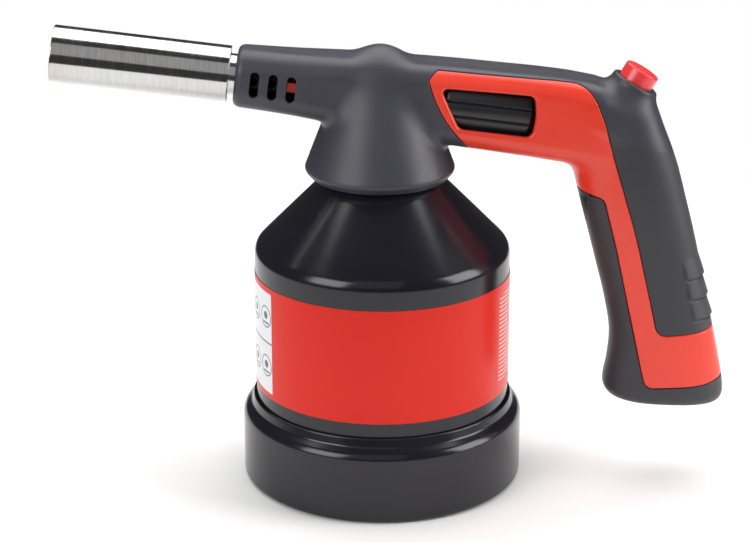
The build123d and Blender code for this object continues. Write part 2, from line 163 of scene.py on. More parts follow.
def net_surface(field, low, high, cell, relax=4):
    """Even quads on the zero surface of a field, inside the box low to high."""
    axes = [np.arange(a, b + cell, cell) for a, b in zip(low, high)]
    shape = [len(a) for a in axes]
    v = sampled(field, axes)
    step = (shape[1] * shape[2], shape[2], 1)
    rings, places = [], []
    for axis, b, c in ((0, 1, 2), (1, 2, 0), (2, 0, 1)):
        lo = np.take(v, range(shape[axis] - 1), axis)
        hi = np.take(v, range(1, shape[axis]), axis)
        index = np.array(np.nonzero((lo < 0) != (hi < 0)))
        fine = (index[b] > 0) & (index[c] > 0)
        fine &= (index[b] < shape[b] - 1) & (index[c] < shape[c] - 1)
        index = index[:, fine]
        a0, a1 = lo[tuple(index)], hi[tuple(index)]
        base = index[0] * step[0] + index[1] * step[1] + index[2]
        ring = np.stack([base, base - step[b], base - step[b] - step[c], base - step[c]], 1)
        ring[a0 >= 0] = ring[a0 >= 0][:, ::-1]
        place = np.stack([axes[k][index[k]] for k in range(3)], 1)
        place[:, axis] += cell * a0 / (a0 - a1)
        rings.append(ring)
        places.append(place)
    rings, places = np.concatenate(rings), np.concatenate(places)
    ids, flat = np.unique(rings, return_inverse=True)
    quads = flat.reshape(rings.shape)
    count = np.bincount(quads.ravel(), minlength=len(ids))
    p = np.stack([np.bincount(quads.ravel(), np.repeat(places[:, k], 4), len(ids)) / count
                  for k in range(3)], 1)
    ends = np.concatenate([quads[:, [k, (k + 1) % 4]] for k in range(4)])
    ends = np.unique(np.sort(ends, 1), axis=0)
    degree = np.bincount(ends.ravel(), minlength=len(ids))
    for _ in range(relax):
        mean = np.zeros_like(p)
        for k in range(3):
            mean[:, k] = np.bincount(ends[:, 0], p[ends[:, 1], k], len(ids))
            mean[:, k] += np.bincount(ends[:, 1], p[ends[:, 0], k], len(ids))
        p += 0.6 * (mean / degree[:, None] - p)
        p, _ = settle(field, p, 1)
    return Skin(p, quads, [])


class Skin:
    """Open surface: points, an array of quads, and a list of faces with other corners."""

    def __init__(self, points, quads, others):
        self.points = points
        self.quads = quads
        self.others = others

    def copy(self):
        return Skin(self.points.copy(), self.quads.copy(), list(self.others))

    def faces(self):
        return [tuple(q) for q in self.quads.tolist()] + self.others

    def trim_unused(self):
        parts = [self.quads.ravel()] + [np.array(f) for f in self.others]
        used = np.unique(np.concatenate(parts))
        new = np.full(len(self.points), -1)
        new[used] = np.arange(len(used))
        self.points = self.points[used]
        self.quads = new[self.quads]
        self.others = [tuple(new[list(f)].tolist()) for f in self.others]


def split_face(face, val, crossing):
    """The parts of one face below and above zero."""
    below, above = [], []
    for k, i in enumerate(face):
        j = face[(k + 1) % len(face)]
        if val[i] <= 0:
            below.append(i)
        if val[i] >= 0:
            above.append(i)
        if val[i] * val[j] < 0:
            m = crossing(i, j)
            below.append(m)
            above.append(m)
    return below, above


def slice_at(skin, value, level, keep_outside, field):
    """Adds an edge along value = level; what lies beyond it is dropped unless keep_outside."""
    p = skin.points
    val = value(p) - level
    val[np.abs(val) < 1e-3] = 0.0
    corner = val[skin.quads]
    inside = corner.max(1) <= 0
    outside = (corner.min(1) >= 0) & ~inside
    crossed = skin.quads[~inside & ~outside].tolist()
    kept = inside | outside if keep_outside else inside
    made, ends, shares = {}, [], []

    def crossing(i, j):
        key = (i, j) if i < j else (j, i)
        if key not in made:
            made[key] = len(p) + len(ends)
            ends.append(key)
            shares.append(val[key[0]] / (val[key[0]] - val[key[1]]))
        return made[key]

    others = []
    for face in crossed + skin.others:
        signs = [val[i] for i in face]
        if max(signs) <= 0:
            others.append(tuple(face))
            continue
        if min(signs) >= 0:
            if keep_outside:
                others.append(tuple(face))
            continue
        below, above = split_face(face, val, crossing)
        if len(below) > 2:
            others.append(tuple(below))
        if keep_outside and len(above) > 2:
            others.append(tuple(above))
    if ends:
        ends, t = np.array(ends), np.array(shares)[:, None]
        extra, _ = settle(field, p[ends[:, 0]] * (1 - t) + p[ends[:, 1]] * t, 1)
        p = np.vstack([p, extra])
    skin.points, skin.quads, skin.others = p, skin.quads[kept], others


def used_only(p, faces):
    used = np.unique(np.concatenate([np.array(f) for f in faces]))
    new = np.full(len(p), -1)
    new[used] = np.arange(len(used))
    return p[used], [tuple(new[list(f)].tolist()) for f in faces]


def on_surface(region, field):
    """A plane region's signed distance, stretched to the distance along the surface."""
    def value(p):
        eps = 0.05
        u = region(p)
        g = np.stack([(region(p + d) - region(p - d)) / (2 * eps) for d in np.eye(3) * eps], 1)
        n = gradient(field, p)
        n /= np.maximum(np.linalg.norm(n, axis=1), 1e-9)[:, None]
        along = g - n * (g * n).sum(1)[:, None]
        return u / np.clip(np.linalg.norm(along, axis=1), 0.3, 1.0)
    return value


def cut_piece(whole, cuts, field, wall, depth=0.0):
    """Trims a skin by cuts of (region, gap, edge radius), rounds the cut edges, gives it a wall.

    The result lies between depth and wall under the skin's surface.
    """
    skin = whole.copy()
    for region, gap, _ in cuts:
        slice_at(skin, on_surface(region, field), -gap, False, field)
        skin.trim_unused()
    for region, gap, radius in cuts:
        for share in (0.08, 0.3, 0.62, 1.0):
            slice_at(skin, on_surface(region, field), -gap - radius * share, True, field)
    skin.trim_unused()
    p, normal = settle(field, skin.points, 1)
    sink = np.zeros(len(p))
    for region, gap, radius in cuts:
        e = np.clip(-gap - on_surface(region, field)(p), 0, radius)
        sink += radius - np.sqrt(np.maximum(radius**2 - (radius - e) ** 2, 0))
    sink = depth + np.minimum(sink, (wall - depth) * 0.8)
    return thicken(p, skin.faces(), normal, sink, wall)


def thicken(p, faces, normal, sink, wall):
    """Closed shell: the skin sunk at its edges, an inner face, and a rim between them."""
    n = len(p)
    outer = p - normal * sink[:, None]
    inner = p - normal * wall
    edges = {}
    for face in faces:
        for k, i in enumerate(face):
            j = face[(k + 1) % len(face)]
            if (j, i) in edges:
                del edges[(j, i)]
            else:
                edges[(i, j)] = True
    out = list(faces)
    out += [tuple(i + n for i in reversed(face)) for face in faces]
    out += [(j, i, i + n, j + n) for i, j in edges]
    return np.vstack([outer, inner]), out


def together(one, other):
    """Two meshes as one."""
    count = len(one[0])
    return (np.vstack([one[0], other[0]]),
            list(one[1]) + [tuple(i + count for i in face) for face in other[1]])


def mirrored(p, faces):
    """The same mesh on the other side of the split plane, y to -y."""
    q = p.copy()
    q[:, 1] *= -1
    return q, [tuple(reversed(f)) for f in faces]


def weld(p, faces, q, more):
    """Joins two meshes and merges their vertices on the plane y = 0."""
    n = len(p)
    both = np.vstack([p, q])
    seam = {}
    target = np.arange(len(both))
    for i in np.nonzero(np.abs(both[:, 1]) < 1e-4)[0]:
        key = (round(float(both[i, 0]), 3), round(float(both[i, 2]), 3))
        target[i] = seam.setdefault(key, i)
    faces = list(faces) + [tuple(i + n for i in f) for f in more]
    faces = [tuple(target[list(f)].tolist()) for f in faces]
    faces = [f for f in faces if len(set(f)) == len(f)]
    return used_only(both, faces)


def new_piece(name, p, faces, look, body, *nodes):
    mesh = bpy.data.meshes.new(name)
    mesh.from_pydata((np.asarray(p) * MM).tolist(), [], faces)
    mesh.validate()
    mesh.polygons.foreach_set("use_smooth", [True] * len(mesh.polygons))
    mesh.materials.append(MATERIALS[look])
    obj = bpy.data.objects.new(name, mesh)
    bpy.context.scene.collection.objects.link(obj)
    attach(obj, body)
    if nodes:
        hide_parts(*nodes)
    return obj


def lathe(outline, segments=256, plane=None):
    """Points and faces of a closed (radius, height) outline turned about the plane's axis."""
    ring = np.array(outline)
    angle = np.arange(segments) * (2 * math.pi / segments)
    c, s = np.cos(angle), np.sin(angle)
    m = len(ring)
    p = np.stack([np.outer(c, ring[:, 0]), np.outer(s, ring[:, 0]),
                  np.tile(ring[:, 1], (segments, 1))], 2).reshape(-1, 3)
    faces = []
    for i in range(segments):
        a, b = i * m, ((i + 1) % segments) * m
        for j in range(m):
            k = (j + 1) % m
            if ring[j, 0] < 1e-6 and ring[k, 0] < 1e-6:
                continue
            face = [a + j, b + j, b + k, a + k]
            if ring[j, 0] < 1e-6:
                face = [j, b + k, a + k]
            if ring[k, 0] < 1e-6:
                face = [a + j, b + j, k]
            faces.append(tuple(face))
    p, faces = used_only(p, faces)
    if plane is not None:
        p = p @ np.array(plane[1]) + np.array(plane[0])
    return p, faces


def outline_turns_left(outline):
    ring = np.array(outline)
    nxt = np.roll(ring, -1, axis=0)
    return float((ring[:, 0] * nxt[:, 1] - nxt[:, 0] * ring[:, 1]).sum()) > 0


def turned(points, segments=256, plane=None, step=8.0):
    """Solid of revolution from (radius, height, corner radius) points, faces outwards."""
    outline = rounded(points, True, step)
    if not outline_turns_left(outline):
        outline = outline[::-1]
    return lathe(outline, segments, plane)


def barrel_frame(along=0.0):
    """Origin and axes of a lathe plane whose height runs along the barrel towards the handle."""
    origin = (along * cos_t, 0.0, ARM_Z - along * sin_t)
    return origin, ((sin_t, 0, cos_t), (0, 1, 0), (cos_t, 0, -sin_t))


def button_frame(out=0.0):
    origin = (BUTTON_X + out * sin_b, 0.0, BUTTON_Z + out * cos_b)
    return origin, ((cos_b, 0, -sin_b), (0, 1, 0), (sin_b, 0, cos_b))


# ============================================================================
# casing: one smooth body, as a distance field in millimetres
# ============================================================================
# distance along the barrel: top and bottom of the section, half width, corner radius
BARREL = np.array([
    (-54.0, 10.9, -10.9, 11.2, 8.6),
    (-32.0, 11.7, -11.3, 12.2, 7.8),
    (-14.0, 12.8, -12.4, 12.9, 7.2),
    (12.0, 14.0, -13.8, 13.2, 7.0),
    (26.5, 14.5, -14.9, 13.3, 7.0),
    (41.0, 14.8, -15.3, 13.3, 7.0),
    (58.0, 15.1, -15.9, 13.3, 7.0),
    (69.0, 14.9, -16.4, 13.2, 7.0),
    (78.0, 13.9, -16.4, 13.0, 7.0),
    (90.0, 11.0, -16.4, 12.6, 7.0),
])

# height: front edge, rear edge, half width of the handle's section
HANDLE = np.array([
    (26.0, 86.0, 130.8, 13.6),
    (36.5, 84.5, 130.3, 13.9),
    (46.4, 85.9, 128.5, 13.7),
    (56.3, 86.4, 126.3, 13.4),
    (68.5, 84.4, 123.3, 13.2),
    (85.4, 80.1, 119.5, 13.2),
    (97.0, 77.0, 116.7, 13.3),
    (109.2, 73.7, 113.4, 13.4),
    (123.2, 70.5, 109.4, 13.4),
    (130.2, 70.0, 106.9, 13.3),
    (137.1, 70.0, 104.1, 12.9),
    (145.0, 71.0, 101.2, 12.2),
    (152.0, 73.0, 99.0, 11.0),
])
BUTT_Z = 29.4
HOOD_SHIFT = -0.9
SECTION_POWER = 2.35


def between(table, column, v):
    """Smooth interpolation of a column of a table over its first column."""
    t = table[:, 0]
    y = table[:, column]
    slope = np.gradient(y, t)
    i = np.clip(np.searchsorted(t, v) - 1, 0, len(t) - 2)
    h = t[i + 1] - t[i]
    s = np.clip((v - t[i]) / h, 0, 1)
    s2, s3 = s * s, s * s * s
    return ((2 * s3 - 3 * s2 + 1) * y[i] + (s3 - 2 * s2 + s) * h * slope[i]
            + (3 * s2 - 2 * s3) * y[i + 1] + (s3 - s2) * h * slope[i + 1])


def along_barrel(x, z):
    return x * cos_t - (z - ARM_Z) * sin_t, x * sin_t + (z - ARM_Z) * cos_t


def barrel_field(x, y, z):
    d, n = along_barrel(x, z)
    top, bottom = between(BARREL, 1, d), between(BARREL, 2, d)
    wide, corner = between(BARREL, 3, d), between(BARREL, 4, d)
    high = (top - bottom) / 2
    qy = np.abs(y) - (wide - corner)
    qn = np.abs(n - (top + bottom) / 2) - (high - corner)
    side = np.hypot(np.maximum(qy, 0), np.maximum(qn, 0)) + np.minimum(np.maximum(qy, qn), 0)
    side = side - corner
    side = smooth_max(side, -54.2 - d, 3.0)
    return smooth_max(side, d - 84.0, 8.0)


def handle_field(x, y, z):
    front, rear = between(HANDLE, 1, z), between(HANDLE, 2, z)
    wide = between(HANDLE, 3, z)
    a = (rear - front) / 2
    u, v = np.abs(x - (front + rear) / 2), np.abs(y)
    k = SECTION_POWER
    pu, pv = (u / a) ** (k - 1), (v / wide) ** (k - 1)
    whole = pu * u / a + pv * v / wide
    g = np.maximum(whole, 1e-9) ** (1 / k)
    slope = np.maximum(g, 0.15) ** (1 - k) * np.hypot(pu / a, pv / wide)
    side = (g - 1) / np.maximum(slope, 1.0 / np.maximum(a, wide) * 0.8)
    side = side - thumb_pads(x, z)
    butt = BUTT_Z + 0.045 * (107.0 - x) + 0.0035 * np.maximum(100.0 - x, 0) ** 2 - z
    side = smooth_max(side, butt, 5.6)
    return smooth_max(side, z - 150.2, 8.0)


PAD_TOP, PAD_PITCH, PAD_COUNT = 88.3, 8.0, 3


def thumb_pads(x, z):
    """Three overlapping scale-like pads on the back of the grip."""
    down = (PAD_TOP - z) / PAD_PITCH
    share = down - np.floor(down)
    ramp = 0.95 * share * smooth_step(1.0, 0.94, share)
    notch = 0.55 * smooth_step(0.0, 0.02, share) * smooth_step(0.09, 0.03, share)
    inside = (down > 0) & (down < PAD_COUNT)
    below = (down >= PAD_COUNT) & (down < PAD_COUNT + 0.09)
    back = between(HANDLE, 2, z)
    reach = smooth_step(back - 8.2, back - 6.6, x)
    return reach * (np.where(inside, ramp, 0.0) - np.where(inside & (down > 1) | below, notch, 0.0))


def hood_field(x, y, z):
    r = np.hypot(x - HOOD_SHIFT, y)
    cone = (r - (27.9 - 0.385 * (z - 122.0))) * 0.933
    cap = (z - (168.0 - 0.043 * r * r)) * 0.72
    cone = smooth_max(cone, cap, 4.0)
    skirt = (r - 28.3 + 0.95 * (121.4 - z)) * 0.72
    cone = smooth_max(cone, skirt, 1.3)
    return smooth_max(cone, 115.0 - z, 1.0)


def collar_field(x, y, z):
    dx, dz = x - BUTTON_X, z - BUTTON_Z
    out = dx * sin_b + dz * cos_b
    across = np.hypot(dx * cos_b - dz * sin_b, y)
    wall = across - (8.75 + 0.012 * np.maximum(-out, 0) ** 2)
    return smooth_max(smooth_max(wall, out, 1.0), -18.0 - out, 4.0)


def casing_field(x, y, z):
    body = smooth_min(barrel_field(x, y, z), handle_field(x, y, z), 7.0)
    body = smooth_min(body, hood_field(x, y, z), 4.0)
    return smooth_min(body, collar_field(x, y, z), 4.5)


# ---- panel outlines, in x and z, with corner radii ---------------------------
TRIM = rounded([
    (16.6, 158.0, 1.8), (19.7, 161.0, 2.2), (41.4, 158.9, 60), (62.0, 157.0, 40), (75.6, 155.3, 15),
    (80.9, 142.0, 30), (84.9, 127.5, 80), (94.0, 98.0, 200), (101.0, 68.5, 100), (103.2, 58.6, 4.4),
    (124.0, 59.6, 30), (145.0, 68.0), (145.0, 43.5), (122.0, 38.2, 30), (99.4, 37.6, 3.6),
    (97.5, 45.4, 60), (92.4, 67.8, 100), (86.8, 92.6, 100), (81.6, 112.2, 3.2), (70.0, 115.0),
    (62.0, 112.4), (44.0, 118.0), (29.9, 133.3, 20), (22.9, 142.3, 30), (18.9, 150.4, 30),
])
TRIM_REAR = np.array([
    (20.0, 104.0), (58.3, 103.4), (68.5, 101.0), (98.0, 94.0), (127.5, 84.9), (142.0, 80.9),
    (155.3, 75.6),
])

WINDOW = rounded([
    (21.1, 154.6, 1.6), (38.3, 153.2, 60), (55.2, 151.7, 2.8), (55.9, 144.0, 20), (54.3, 136.1, 2.9),
    (38.5, 138.0, 60), (27.9, 139.3, 3.6),
])

SCREWS_CASING = [(3.0, 160.6)]
SCREWS_TRIM = [(64.5, 139.0), (106.5, 48.0)]
SCREWS_GRIP = [(101.5, 92.0)]


def trim_inside(p):
    return outline_distance(TRIM, p[:, 0], p[:, 2])


def trim_outside(p):
    return -trim_inside(p)


def beyond_ledge(p):
    """Positive away from the strip that backs the trim's seam."""
    return np.abs(trim_inside(p)) - LEDGE_HALF


def knob_bay(p):
    """Positive over the stretch of the arm that the knob fills."""
    d, _ = along_barrel(p[:, 0], p[:, 2])
    return np.minimum(d - 20.8, 56.6 - d)


def window_region(p):
    return -outline_distance(WINDOW, p[:, 0], p[:, 2])


def rear_side(p):
    """Distance behind the middle of the trim's strip down the handle."""
    return p[:, 0] + 4.0 - np.interp(p[:, 2], TRIM_REAR[:, 0], TRIM_REAR[:, 1])


def front_side(p):
    return -rear_side(p)


def seam_height(p):
    return 132.0 - 0.35 * (p[:, 0] - 96.0)


def above_seam(p):
    return p[:, 2] - seam_height(p)


def below_seam(p):
    return np.where(p[:, 0] > 76, -above_seam(p), -20.0)


def below_band(p):
    return 48.0 - p[:, 2]


def above_arm_line(p):
    return p[:, 2] - 112.6


def behind_and_above_band(p):
    return np.minimum(rear_side(p), p[:, 2] - 48.0)


def slot_region(p):
    """Positive inside the three air slots of the head."""
    d, n = along_barrel(p[:, 0], p[:, 2])
    best = np.full(len(p), 1e9)
    for at in AIR_SLOTS:
        stem = np.maximum(np.abs(n + 0.2) - 3.25, 0)
        best = np.minimum(best, np.hypot(d - at, stem) - 1.65)
    return -best


def nozzle_region(p):
    """Positive inside the round hole of the head's front."""
    d, n = along_barrel(p[:, 0], p[:, 2])
    return np.where(d < -48, 8.1 - np.hypot(n, p[:, 1]), -20.0)


def button_region(p):
    dx, dz = p[:, 0] - BUTTON_X, p[:, 2] - BUTTON_Z
    out = dx * sin_b + dz * cos_b
    across = np.hypot(dx * cos_b - dz * sin_b, p[:, 1])
    return np.where(out > -5, 6.95 - across, -20.0)


def hood_mouth(p):
    """Positive below the hood's open rim."""
    return np.where(np.hypot(p[:, 0], p[:, 1]) < 40, 118.2 - p[:, 2], -20.0)


def half_region(p):
    return p[:, 1]


def screw_cuts(points):
    """Recesses for screw heads, in the right half alone."""
    def region(p):
        best = np.full(len(p), -20.0)
        for x, z in points:
            best = np.maximum(best, 2.7 - np.hypot(p[:, 0] - x, p[:, 2] - z))
        return best
    return [(region, 0.0, 0.5)]


PANEL, HAIRLINE = (PANEL_GAP, 0.4), (0.004, 0.01)
CASING_CUTS = [(trim_outside, *PANEL), (below_seam, *HAIRLINE), (slot_region, 0.0, 0.4),
               (nozzle_region, 0.0, 0.5), (button_region, 0.0, 0.3), (hood_mouth, 0.0, 0.5)]
TRIM_CUTS = [(trim_inside, *PANEL), (window_region, 0.0, 1.4)]
REAR_CUTS = [(trim_outside, *PANEL), (above_seam, *HAIRLINE), (front_side, 0.0, 0.01),
             (below_band, 0.0, 0.01)]
FRONT_CUTS = [(trim_outside, *PANEL), (above_arm_line, *PANEL), (behind_and_above_band, 0.0, 0.01)]
SPLIT = [(half_region, SPLIT_GAP, 0.2)]
JOINED = [(half_region, 0.0, 0.001)]

LEDGE_HALF, LEDGE_TOP, LEDGE_BOTTOM = 2.4, WALL + 0.02, WALL + 0.8
LEDGE_CUTS = [(beyond_ledge, 0.0, 0.01), (knob_bay, 0.0, 0.01)]


def build_casing():
    """The casing halves with their seam ledge, the trims and the grips, cut from one skin."""
    skin = net_surface(casing_field, (-57, -30.5, 25), (134, 1.5, 171), CELL)

    def cut(cuts):
        return cut_piece(skin, cuts, casing_field, WALL)

    ledge = cut_piece(skin, LEDGE_CUTS + SPLIT, casing_field, LEDGE_BOTTOM, LEDGE_TOP)
    for kind, cuts, screws, look in (("casing", CASING_CUTS, SCREWS_CASING, "casing"),
                                     ("side_trim", TRIM_CUTS, SCREWS_TRIM, "trim")):
        left = cut(cuts + SPLIT)
        right = cut(cuts + screw_cuts(screws) + SPLIT)
        if kind == "casing":
            left = together(left, ledge)
            right = together(right, ledge)
        new_piece(f"{kind}_left_shell", *left, look, "head", f"{kind}_left")
        new_piece(f"{kind}_right_shell", *mirrored(*right), look, "head", f"{kind}_right")
    for kind, cuts, screws in (("rear_grip", REAR_CUTS, SCREWS_GRIP),
                               ("front_grip", FRONT_CUTS, [])):
        left = cut(cuts + JOINED)
        right = cut(cuts + (screw_cuts(screws) if screws else []) + JOINED)
        both = weld(*left, *mirrored(*right))
        new_piece(f"{kind}_pad", *both, "grip", "head", kind)


# ============================================================================
# turned pieces
# ============================================================================
def build_holder():
    """Spun steel shell: straight wall, rounded shoulder, cone, open neck, rolled foot."""
    inside = HOLDER_R - HOLDER_T
    outline = [(HOLDER_R, 6.0, 0.3), (HOLDER_R, 91.35, 6.5), (21.6, 118.4, 1.2), (17.1, 118.4),
               (17.1, 117.6), (21.3, 117.6, 1.0), (inside, 91.0, 5.7), (inside, 6.0, 0.3)]
    new_piece("holder_shell_skin", *turned(outline, step=3.0), "paint", "holder", "holder_shell")


def build_label():
    outline = [(HOLDER_R, LABEL_LOW), (LABEL_R, LABEL_LOW, 0.12), (LABEL_R, LABEL_HIGH, 0.12),
               (HOLDER_R, LABEL_HIGH)]
    new_piece("label_band", *turned(outline), "label", "holder", "holder_label")


def build_base_cup():
    """Deep-drawn cup with a stepped shoulder and a small rim round the holder."""
    outline = [(0.0, 1.8), (0.0, 0.0), (49.5, 0.0, 0.5), (50.5, 0.5, 1.0), (52.3, 0.5, 1.0),
               (53.1, 1.8, 1.5), (53.1, 26.6, 5.4), (49.9, 29.3, 1.5), (49.15, 32.5, 0.6),
               (48.3, 32.7, 0.3), (48.3, 29.0, 0.8), (51.9, 25.6, 3.5), (51.9, 1.8, 1.2)]
    new_piece("base_cup_skin", *turned(outline, step=4.0), "paint", "base", "base_cup")


def build_burner():
    """Rolled stainless burner tube with a soft edge at each end."""
    front, back, r, wall = -121.4, -56.6, 10.45, 0.6
    outline = [(r, front, 0.28), (r, back, 0.28), (r - wall, back, 0.28), (r - wall, front, 0.28)]
    shape = turned(outline, plane=barrel_frame(), step=15)
    new_piece("burner_tube_skin", *shape, "steel", "head", "burner_tube")


def build_knob():
    """Regulator wheel with narrow grooves between broad rounded lands."""
    start, end, r, lands = KNOB_FROM, KNOB_TO, KNOB_R, KNOB_LANDS
    stations = [(start, 2.1), (start, 10.2), (start + 0.2, 11.2), (start + 0.9, 12.0),
                (start + 1.8, r), (end - 1.8, r), (end - 0.9, 12.0), (end - 0.2, 11.2), (end, 10.2),
                (end, 0.0)]
    count = lands * 24
    angle = np.arange(count) * (2 * math.pi / count)
    phase = (angle * lands / (2 * math.pi)) % 1.0
    bulge = 0.25 * (2 * phase - 1) ** 2
    groove = 0.9 * smooth_step(0.40, 0.47, np.abs(phase - 0.5))
    radius = r - bulge - groove
    origin, axes = barrel_frame()
    points, faces = [], []
    for along, limit in stations:
        ring_r = np.minimum(radius, limit)
        local = np.stack([ring_r * np.cos(angle), ring_r * np.sin(angle),
                          np.full(count, along)], 1)
        points.append(local @ np.array(axes) + np.array(origin))
    for i in range(len(stations) - 2):
        for j in range(count):
            k = (j + 1) % count
            faces.append((i * count + j, i * count + k, (i + 1) * count + k, (i + 1) * count + j))
    last = (len(stations) - 2) * count
    faces.append(tuple(last + j for j in range(count)))
    faces.append(tuple(reversed(range(count))))
    p = np.vstack(points[:-1])
    new_piece("regulator_wheel", p, faces, "knob", "knob", "regulator_knob")


def build_button():
    """Round push button with a softened rim and a slightly domed top."""
    r, proud, dome = BUTTON_R, BUTTON_PROUD, 0.45
    top = [(r * (1 - i / 5), proud + dome * (1 - (1 - i / 5) ** 2)) for i in range(1, 5)]
    outline = [(0.0, -3.2), (2.6, -3.2, 0.2), (2.6, -2.6), (r - 0.3, -2.6, 0.2), (r, -1.2, 0.5),
               (r, proud, 1.7)] + top + [(0.0, proud + dome)]
    shape = turned(outline, 160, button_frame())
    new_piece("ignition_button_cap", *shape, "button", "button", "ignition_button")


# ============================================================================
# materials: every one is worked out from the place on the object, with no images
# ============================================================================
class Look:
    """Node tree of one material, built round a Principled shader."""

    def __init__(self, name, metallic=0.0, **constant):
        self.material = bpy.data.materials.new(name)
        self.material.use_nodes = True
        self.tree = self.material.node_tree
        self.shader = self.tree.nodes["Principled BSDF"]
        self.shader.inputs["Metallic"].default_value = metallic
        for key, value in constant.items():
            self.shader.inputs[key.replace("_", " ")].default_value = value
        self.place = self.node("ShaderNodeTexCoord").outputs["Object"]

    def node(self, kind, **settings):
        n = self.tree.nodes.new(kind)
        for key, value in settings.items():
            setattr(n, key, value)
        return n

    def link(self, source, target):
        self.tree.links.new(source, target)

    def math(self, operation, a, b=0.0, c=0.0, clamp=False):
        n = self.node("ShaderNodeMath", operation=operation, use_clamp=clamp)
        for socket, value in zip(n.inputs, (a, b, c)):
            if isinstance(value, (int, float)):
                socket.default_value = value
            else:
                self.link(value, socket)
        return n.outputs[0]

    def stretched(self, scale, turn=(0, 0, 0)):
        n = self.node("ShaderNodeMapping")
        n.inputs["Scale"].default_value = scale
        n.inputs["Rotation"].default_value = turn
        self.link(self.place, n.inputs["Vector"])
        return n.outputs[0]

    def noise(self, size_mm, detail=4.0, rough=0.55, place=None):
        """Noise whose features are about size_mm across."""
        n = self.node("ShaderNodeTexNoise")
        n.inputs["Scale"].default_value = 1.0 / (size_mm * MM)
        n.inputs["Detail"].default_value = detail
        n.inputs["Roughness"].default_value = rough
        self.link(place or self.place, n.inputs["Vector"])
        return n.outputs["Fac"]

    def spread(self, value, low, high, start=0.3, end=0.7):
        n = self.node("ShaderNodeMapRange")
        for socket, v in zip(("From Min", "From Max", "To Min", "To Max"), (start, end, low, high)):
            n.inputs[socket].default_value = v
        self.link(value, n.inputs["Value"])
        return n.outputs[0]

    def mix(self, share, a, b):
        n = self.node("ShaderNodeMix", data_type="RGBA")
        for socket, value in ((n.inputs[0], share), (n.inputs[6], a), (n.inputs[7], b)):
            if isinstance(value, tuple):
                socket.default_value = (*value, 1)
            elif isinstance(value, float):
                socket.default_value = value
            else:
                self.link(value, socket)
        return n.outputs[2]

    def colour(self, source):
        self.link(source, self.shader.inputs["Base Color"])

    def rough(self, source):
        self.link(source, self.shader.inputs["Roughness"])

    def bump(self, *layers):
        """Stacked bumps, each a (height source, depth in mm)."""
        normal = None
        for height, depth in layers:
            n = self.node("ShaderNodeBump")
            n.inputs["Strength"].default_value = 1.0
            n.inputs["Distance"].default_value = depth * MM
            self.link(height, n.inputs["Height"])
            if normal is not None:
                self.link(normal, n.inputs["Normal"])
            normal = n.outputs[0]
        self.link(normal, self.shader.inputs["Normal"])

    def worn_and_edge_highlight(self, colour, pale, amount):
        """Paler where edges are sharp, broken up by noise: partly rubbed wear, partly a painted edge
        highlight.
        """
        edge = self.node("ShaderNodeNewGeometry").outputs["Pointiness"]
        edge = self.spread(edge, 0.0, 1.0, 0.52, 0.60)
        patch = self.spread(self.noise(2.5), 0.3, 1.0, 0.35, 0.65)
        share = self.math("MULTIPLY", edge, self.math("MULTIPLY", patch, amount), clamp=True)
        return self.mix(share, colour, pale)


def moulded(name, base, deep, rough, grain_mm, depth_mm, wear_and_highlight=0.25, **constant):
    """Injection-moulded plastic: fine spark-eroded grain, slow drift of tone and gloss."""
    look = Look(name, **constant)
    tone = look.mix(look.spread(look.noise(28.0, 3.0), 0.0, 1.0), deep, base)
    # the paler sharp edges are partly rubbed wear and partly a painted highlight along the edges
    pale = tuple(min(1.0, c * 1.8 + 0.02) for c in base)
    look.colour(look.worn_and_edge_highlight(tone, pale, wear_and_highlight))
    look.rough(look.math("ADD", look.spread(look.noise(14.0), rough - 0.04, rough + 0.04),
                         look.spread(look.noise(grain_mm * 2), -0.03, 0.03)))
    look.bump((look.noise(grain_mm, 2.0, 0.5), depth_mm), (look.noise(45.0, 1.0), 0.05))
    return look.material


def make_paint():
    """Satin black stove enamel: slight orange peel, fine dust nibs."""
    look = Look("black_enamel", Specular_IOR_Level=0.45)
    tone = look.mix(look.spread(look.noise(35.0, 3.0), 0.0, 1.0), (0.0080, 0.0078, 0.0120),
                    (0.0110, 0.0108, 0.0155))
    # pale sharp edges: partly chipped wear, partly a painted highlight along the edges
    look.colour(look.worn_and_edge_highlight(tone, (0.09, 0.09, 0.095), 0.35))
    look.rough(look.spread(look.noise(18.0, 3.0, 0.6), 0.17, 0.21))
    look.bump((look.noise(1.1, 1.0), 0.008), (look.noise(0.25, 2.0), 0.0025))
    return look.material


def make_steel():
    """Stainless tube, brushed round its girth, faintly warm where the flame starts."""
    look = Look("brushed_stainless", 1.0, Anisotropic=0.45)
    tilt = (0, -ARM_TILT, 0)
    lines = look.noise(0.22, 3.0, 0.65, look.stretched((1.0, 0.035, 0.035), tilt))
    broad = look.noise(3.0, 3.0, 0.5, look.stretched((1.0, 0.12, 0.12), tilt))
    tone = look.mix(look.spread(lines, 0.0, 1.0), (0.47, 0.465, 0.455), (0.68, 0.675, 0.66))
    tone = look.mix(look.spread(broad, 0.0, 0.35), tone, (0.56, 0.55, 0.535))
    along = look.node("ShaderNodeSeparateXYZ")
    look.link(look.place, along.inputs[0])
    heat = look.spread(along.outputs[0], 0.30, 0.0, -0.1215, -0.108)
    look.colour(look.mix(heat, tone, (0.50, 0.40, 0.26)))
    look.rough(look.math("ADD", look.spread(lines, 0.08, 0.17), look.spread(broad, -0.02, 0.03)))
    look.bump((lines, 0.0025))
    return look.material


